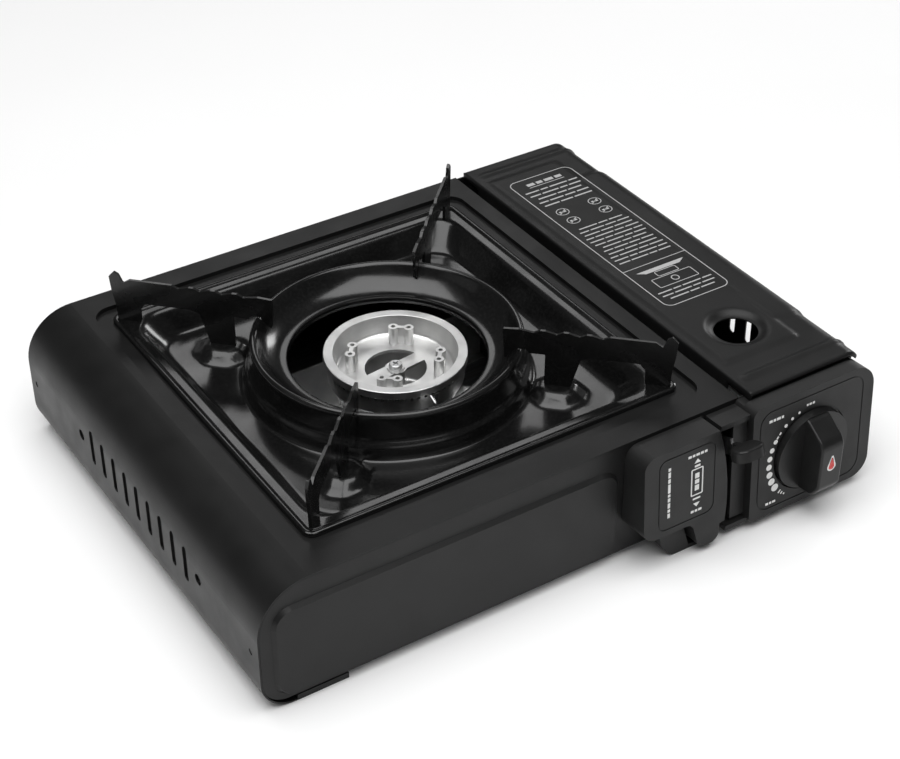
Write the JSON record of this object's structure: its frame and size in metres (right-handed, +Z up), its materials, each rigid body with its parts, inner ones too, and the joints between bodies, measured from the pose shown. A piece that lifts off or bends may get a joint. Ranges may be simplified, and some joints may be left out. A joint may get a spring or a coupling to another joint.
{
  "type": "camp stove",
  "caption": "Portable gas cooking stove in a flat black steel case with a drip tray, pan supports, a ring burner, a hinged canister lid, a control knob and a lock lever.",
  "frame": {"origin": "centre of the bounding box in X and Y, on the ground under the feet", "axes": "+X towards the canister bay, +Y from the knob side to the back, +Z up"},
  "size_m": [0.345, 0.2906, 0.0993],
  "materials": {
    "black_coat": "satin powder coat",
    "enamel": "glossy vitreous enamel",
    "zinc_steel": "zinc plated",
    "spring_steel": "plain",
    "cast_alloy": "cast, satin",
    "black_moulding": "fine grain",
    "tab_plastic": "semi gloss",
    "knob_plastic": "semi gloss",
    "mark": "gloss",
    "white_plastic": "gloss",
    "ceramic": "glazed ceramic",
    "brass": "turned",
    "rubber": "matt",
    "lead": "silicone sheath"
  },
  "bodies": {
    "stove": {"outer_shell": "black_coat", "front_sheet": "black_coat", "back_sheet": "black_coat", "base_pan": "zinc_steel", "rubber_feet": "rubber", "right_wall": "black_coat", "partition": "zinc_steel", "carriage_guides": "white_plastic", "canister_saddles": "zinc_steel", "burner_head": "cast_alloy", "burner_body": "cast_alloy", "burner_screw": "zinc_steel", "burner_bracket": "zinc_steel", "mixing_tube": "zinc_steel", "heat_plate": "cast_alloy", "electrode_insulator": "ceramic", "spark_electrode": "spring_steel", "electrode_bracket": "zinc_steel", "regulator_body": "cast_alloy", "regulator_cap": "zinc_steel", "cap_screws": "zinc_steel", "port_seal": "rubber", "gas_nozzle": "brass", "regulator_bracket": "zinc_steel", "piezo_igniter": "white_plastic", "ignition_lead": "lead", "control_panel": "black_moulding", "lever_guard": "black_moulding", "front_foot": "black_moulding", "panel_screws": "zinc_steel", "shell_screws": "zinc_steel", "lever_pivot_pin": "zinc_steel"},
    "lid": {"lid": "black_coat", "lid_hinge_pins": "zinc_steel"},
    "knob": {"knob": "knob_plastic", "knob_mark": "mark", "valve_spindle": "brass", "igniter_cam": "white_plastic"},
    "lever": {"lock_lever": "zinc_steel", "lever_tab": "tab_plastic"},
    "carriage": {"canister_carriage": "zinc_steel"},
    "plunger": {"piezo_plunger": "tab_plastic"},
    "tray": {"drip_tray": "enamel", "pan_support_back_right": "enamel", "pan_support_back_left": "enamel", "pan_support_front_left": "enamel", "pan_support_front_right": "enamel"}
  },
  "joints": [
    {"name": "lid_hinge", "type": "hinge", "parent": "stove", "child": "lid", "pos_m": [0.1673, 0.017, 0.0545], "axis": [0, 1, 0], "range_deg": [0, 100]},
    {"name": "knob_turn", "type": "hinge", "parent": "stove", "child": "knob", "pos_m": [0.1314, -0.1313, 0.0368], "axis": [0, -1, 0], "range_deg": [0, 130]},
    {"name": "lever_swing", "type": "hinge", "parent": "stove", "child": "lever", "pos_m": [0.0825, -0.0913, 0.042], "axis": [1, 0, 0], "range_deg": [0, 40]},
    {"name": "carriage_slide", "type": "slide", "parent": "stove", "child": "carriage", "axis": [0, -1, 0], "range_m": [0, 0.00819]},
    {"name": "plunger_slide", "type": "slide", "parent": "stove", "child": "plunger", "axis": [0, 0, -1], "range_m": [0, 0.005]},
    {"name": "tray_lift", "type": "slide", "parent": "stove", "child": "tray", "axis": [0, 0, 1], "range_m": [0, 0.05]}
  ],
  "couplings": [
    {"joint": "lever_swing", "follows": "carriage_slide", "rad_per_m": 85.23},
    {"joint": "knob_turn", "follows": "plunger_slide", "rad_per_m": 453.78}
  ]
}
